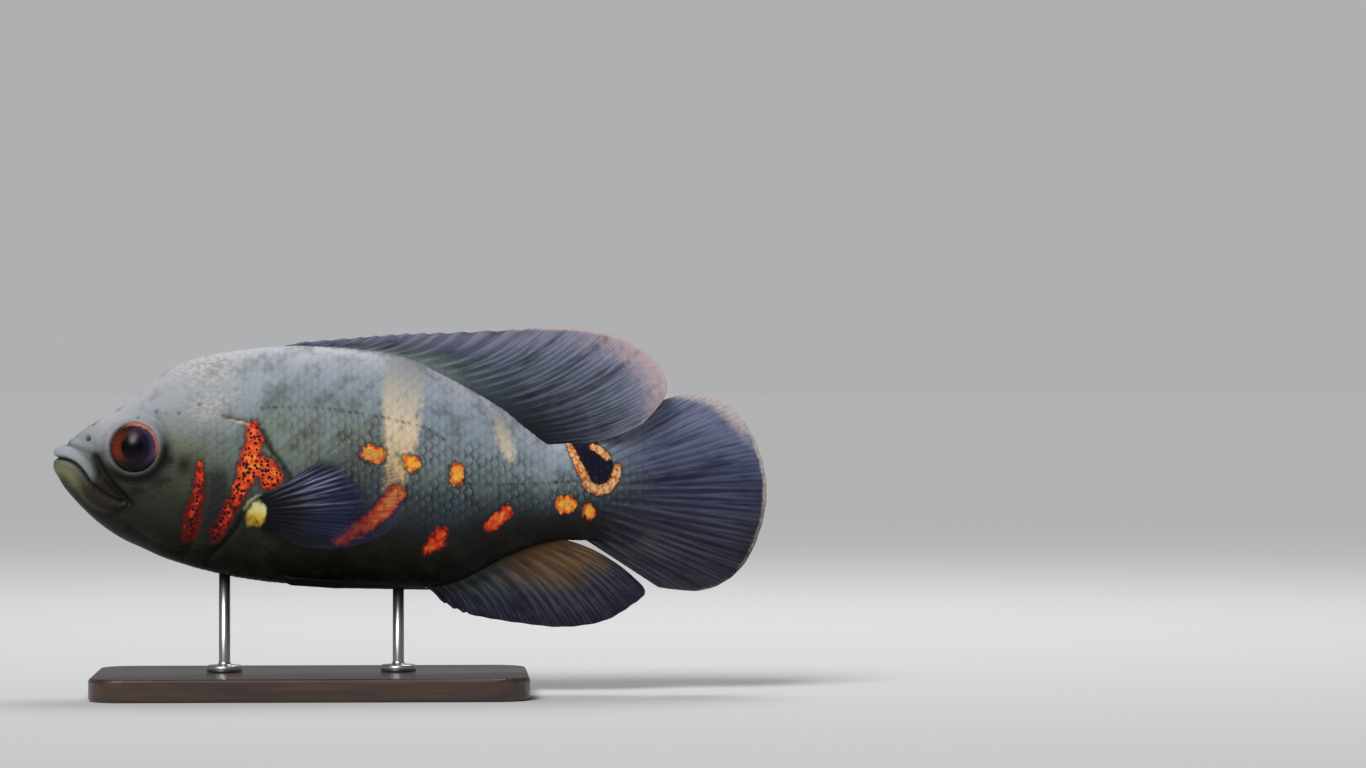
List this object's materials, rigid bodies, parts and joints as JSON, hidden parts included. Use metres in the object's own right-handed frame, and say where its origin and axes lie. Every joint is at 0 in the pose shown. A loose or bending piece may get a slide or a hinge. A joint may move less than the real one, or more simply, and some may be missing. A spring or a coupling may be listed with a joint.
{
  "type": "fish",
  "caption": "Life-size model of an adult oscar cichlid swimming level, deep oval body, thick lips, fanned dorsal, anal and tail fins, held on two short rods over a flat base",
  "frame": {"origin": "on the floor, under the middle of the model's box", "axes": "head towards -X, the fish's left side towards -Y, back towards +Z"},
  "size_m": [0.2804, 0.1, 0.1441],
  "materials": {
    "skin": "scaly slate-grey skin with a wet sheen, paler on the back and orange-spotted",
    "jaw_skin": "smooth yellow-green skin",
    "gill_skin": "dark scaly skin with an orange-red patch at its rear edge",
    "fin": "thin ribbed membrane, dark slate blue",
    "eye": "glossy, orange-brown iris round a black pupil",
    "base": "dark satin lacquer",
    "rod": "satin"
  },
  "bodies": {
    "root": {"head": "skin", "trunk": "skin", "tail_stalk": "skin", "lower_jaw": "jaw_skin", "gill_cover_left": "gill_skin", "gill_cover_right": "gill_skin", "dorsal_fin": "fin", "anal_fin": "fin", "tail_fin": "fin", "pectoral_fin_left": "fin", "pectoral_fin_right": "fin", "pelvic_fin_left": "fin", "pelvic_fin_right": "fin", "eye_left": "eye", "eye_right": "eye", "stand_base": "base", "stand_rod_front": "rod", "stand_rod_rear": "rod"}
  },
  "joints": []
}
